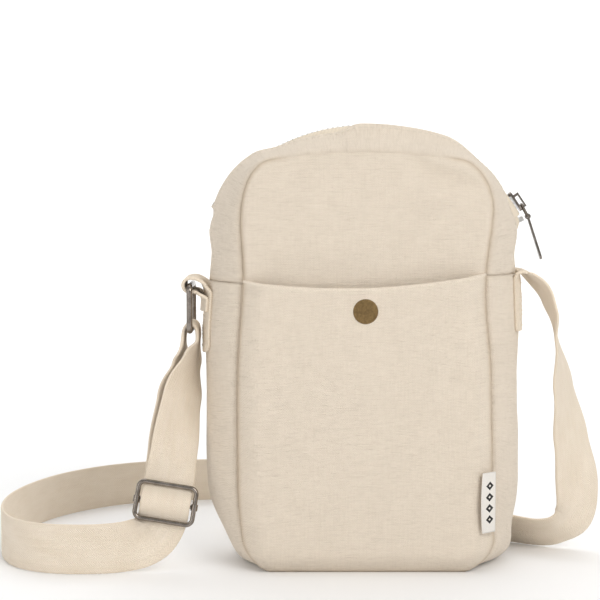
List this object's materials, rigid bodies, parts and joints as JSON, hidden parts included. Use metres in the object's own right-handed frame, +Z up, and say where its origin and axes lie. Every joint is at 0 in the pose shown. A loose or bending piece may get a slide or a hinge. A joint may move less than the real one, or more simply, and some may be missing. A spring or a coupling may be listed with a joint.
{
  "type": "crossbody purse",
  "caption": "Small upright canvas crossbody purse with an arched zip mouth, a snap front pocket and a webbing strap with a wire slider buckle.",
  "frame": {"origin": "middle of the flat base, on the surface it stands on", "axes": "+Z up, -Y out of the front with the pocket, +X towards the zip slider's side"},
  "size_m": [0.3118, 0.1795, 0.2231],
  "materials": {
    "canvas": "matte slubbed cotton canvas",
    "binding": "matte cotton tape",
    "webbing": "matte cotton webbing",
    "tag_cotton": "smooth woven tag",
    "zip_tape": "knitted zip tape",
    "zip_metal": "satin metal teeth",
    "gunmetal": "dark plated wire and casting",
    "old_brass": "aged brass snap"
  },
  "bodies": {
    "bag": {"front_panel": "canvas", "back_panel": "canvas", "lower_gusset": "canvas", "zip_gusset_left": "canvas", "zip_gusset_right": "canvas", "seam_binding_front": "binding", "seam_binding_back": "binding", "zip_end_stop": "zip_metal", "pocket_edge": "canvas", "snap_stud": "old_brass", "snap_backing": "old_brass", "side_tag": "tag_cotton", "left_tab": "webbing", "strap_end_patch": "webbing", "strap_right": "webbing", "strap_floor": "webbing", "strap_left": "webbing", "strap_end_layer": "webbing"},
    "front_lip": {"zip_strip_front": "canvas", "zip_tape_front": "zip_tape", "zip_teeth_front": "zip_metal"},
    "back_lip": {"zip_strip_back": "canvas", "zip_tape_back": "zip_tape", "zip_teeth_back": "zip_metal"},
    "slider": {"zip_slider": "gunmetal"},
    "pull_link": {"pull_link": "gunmetal"},
    "pull_tab": {"pull_tab": "gunmetal"},
    "pocket": {"pocket_front": "canvas", "pocket_hem": "canvas", "snap_cap": "old_brass", "snap_socket": "old_brass", "snap_rivet": "old_brass"},
    "ring": {"strap_ring": "gunmetal"},
    "buckle": {"buckle_frame": "gunmetal", "buckle_bar": "gunmetal"}
  },
  "joints": [
    {"name": "zip_travel", "type": "hinge", "parent": "bag", "child": "slider", "pos_m": [0, 0, 0.132], "axis": [0, -1, 0], "range_deg": [0, 112]},
    {"name": "mouth_front_close", "type": "hinge", "parent": "bag", "child": "front_lip", "pos_m": [0, 0, 0.178], "axis": [-1, 0, 0], "range_deg": [0, 12]},
    {"name": "mouth_back_close", "type": "hinge", "parent": "bag", "child": "back_lip", "pos_m": [0, 0, 0.178], "axis": [1, 0, 0], "range_deg": [0, 12]},
    {"name": "pull_link_swing", "type": "hinge", "parent": "slider", "child": "pull_link", "pos_m": [0.08042, 0, 0.18275], "axis": [0, -1, 0], "range_deg": [0, 140]},
    {"name": "pull_tab_swing", "type": "hinge", "parent": "pull_link", "child": "pull_tab", "pos_m": [0.08382, 0, 0.17663], "axis": [0, -1, 0], "range_deg": [-12, 100]},
    {"name": "pocket_bow", "type": "hinge", "parent": "bag", "child": "pocket", "pos_m": [0, -0.0357, 0.008], "axis": [1, 0, 0], "range_deg": [-1.2, 5], "stiffness_Nm_per_rad": 0.05},
    {"name": "ring_swing", "type": "hinge", "parent": "bag", "child": "ring", "pos_m": [-0.0875, 0, 0.1416], "axis": [0, 1, 0], "range_deg": [-8, 60], "deforming": ["strap_left", "strap_end_layer"]},
    {"name": "buckle_slide", "type": "slide", "parent": "bag", "child": "buckle", "axis": [0.161, 0.155, 0.9747], "range_m": [0, 0.035], "deforming": ["strap_left", "strap_end_layer"]}
  ],
  "couplings": [
    {"joint": "mouth_front_close", "follows": "zip_travel", "ratio": 0.10714},
    {"joint": "mouth_back_close", "follows": "zip_travel", "ratio": 0.10714}
  ]
}
